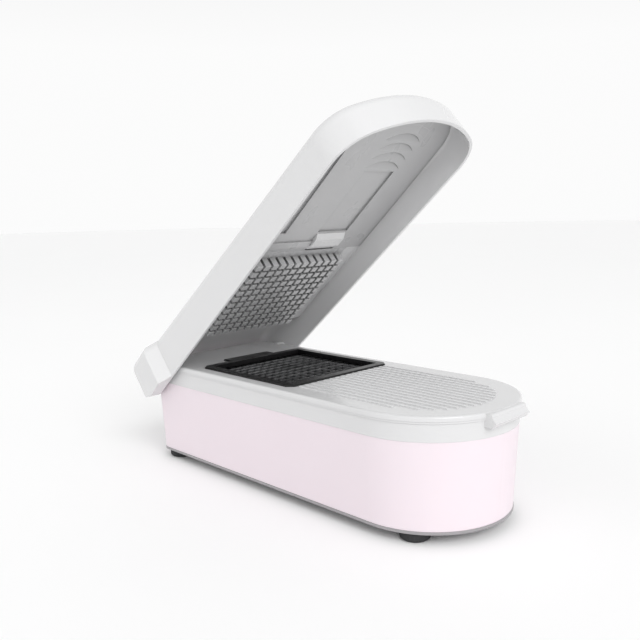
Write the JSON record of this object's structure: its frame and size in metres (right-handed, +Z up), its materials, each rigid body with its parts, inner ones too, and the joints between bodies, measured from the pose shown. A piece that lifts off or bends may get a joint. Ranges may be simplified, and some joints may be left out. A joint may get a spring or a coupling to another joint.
{
  "type": "press-lid vegetable chopper",
  "caption": "Long box chopper: round-fronted tub, lift-off tray with a square blade cassette and a hinged lid whose pegs press food through the grid.",
  "frame": {"origin": "middle of the object's footprint on the surface that it stands on, with the lid open as stored", "axes": "+X towards the round front end, +Y to the far side, +Z up"},
  "size_m": [0.3078, 0.143, 0.2622],
  "materials": {
    "tub_pink": "satin moulded",
    "base_grey": "satin moulded",
    "rubber": "matte",
    "tray_white": "semi-gloss moulded",
    "cassette_black": "semi-gloss moulded",
    "blade_steel": "fine brushed",
    "lid_white": "gloss moulded",
    "liner_white": "semi-gloss moulded",
    "pusher_grey": "semi-gloss moulded",
    "tab_grey": "semi-gloss moulded",
    "pin_steel": "ground"
  },
  "bodies": {
    "container": {"container": "tub_pink", "base_plate": "base_grey", "foot_front_near": "rubber", "foot_front_far": "rubber", "foot_rear_near": "rubber", "foot_rear_far": "rubber"},
    "tray": {"tray": "tray_white"},
    "cassette": {"cassette_frame": "cassette_black", "cassette_retainer": "cassette_black", "blades_lengthwise": "blade_steel", "blades_crosswise": "blade_steel"},
    "lid": {"lid": "lid_white", "lid_liner": "liner_white", "pusher_plate": "pusher_grey", "hinge_pin_near": "pin_steel", "hinge_pin_far": "pin_steel"},
    "release_tab": {"pusher_release_tab": "tab_grey"}
  },
  "joints": [
    {"name": "tray_lift", "type": "slide", "parent": "container", "child": "tray", "axis": [0, 0, 1], "range_m": [0, 0.06]},
    {"name": "cassette_lift", "type": "slide", "parent": "tray", "child": "cassette", "axis": [0, 0, 1], "range_m": [0, 0.002]},
    {"name": "lid_hinge", "type": "hinge", "parent": "tray", "child": "lid", "pos_m": [-0.1171, 0, 0.0745], "axis": [0, -1, 0], "range_deg": [-40.5, 9.5]},
    {"name": "tab_press", "type": "slide", "parent": "lid", "child": "release_tab", "axis": [-0.7604, 0, -0.6494], "range_m": [0, 0.0015], "stiffness_N_per_m": 900}
  ]
}
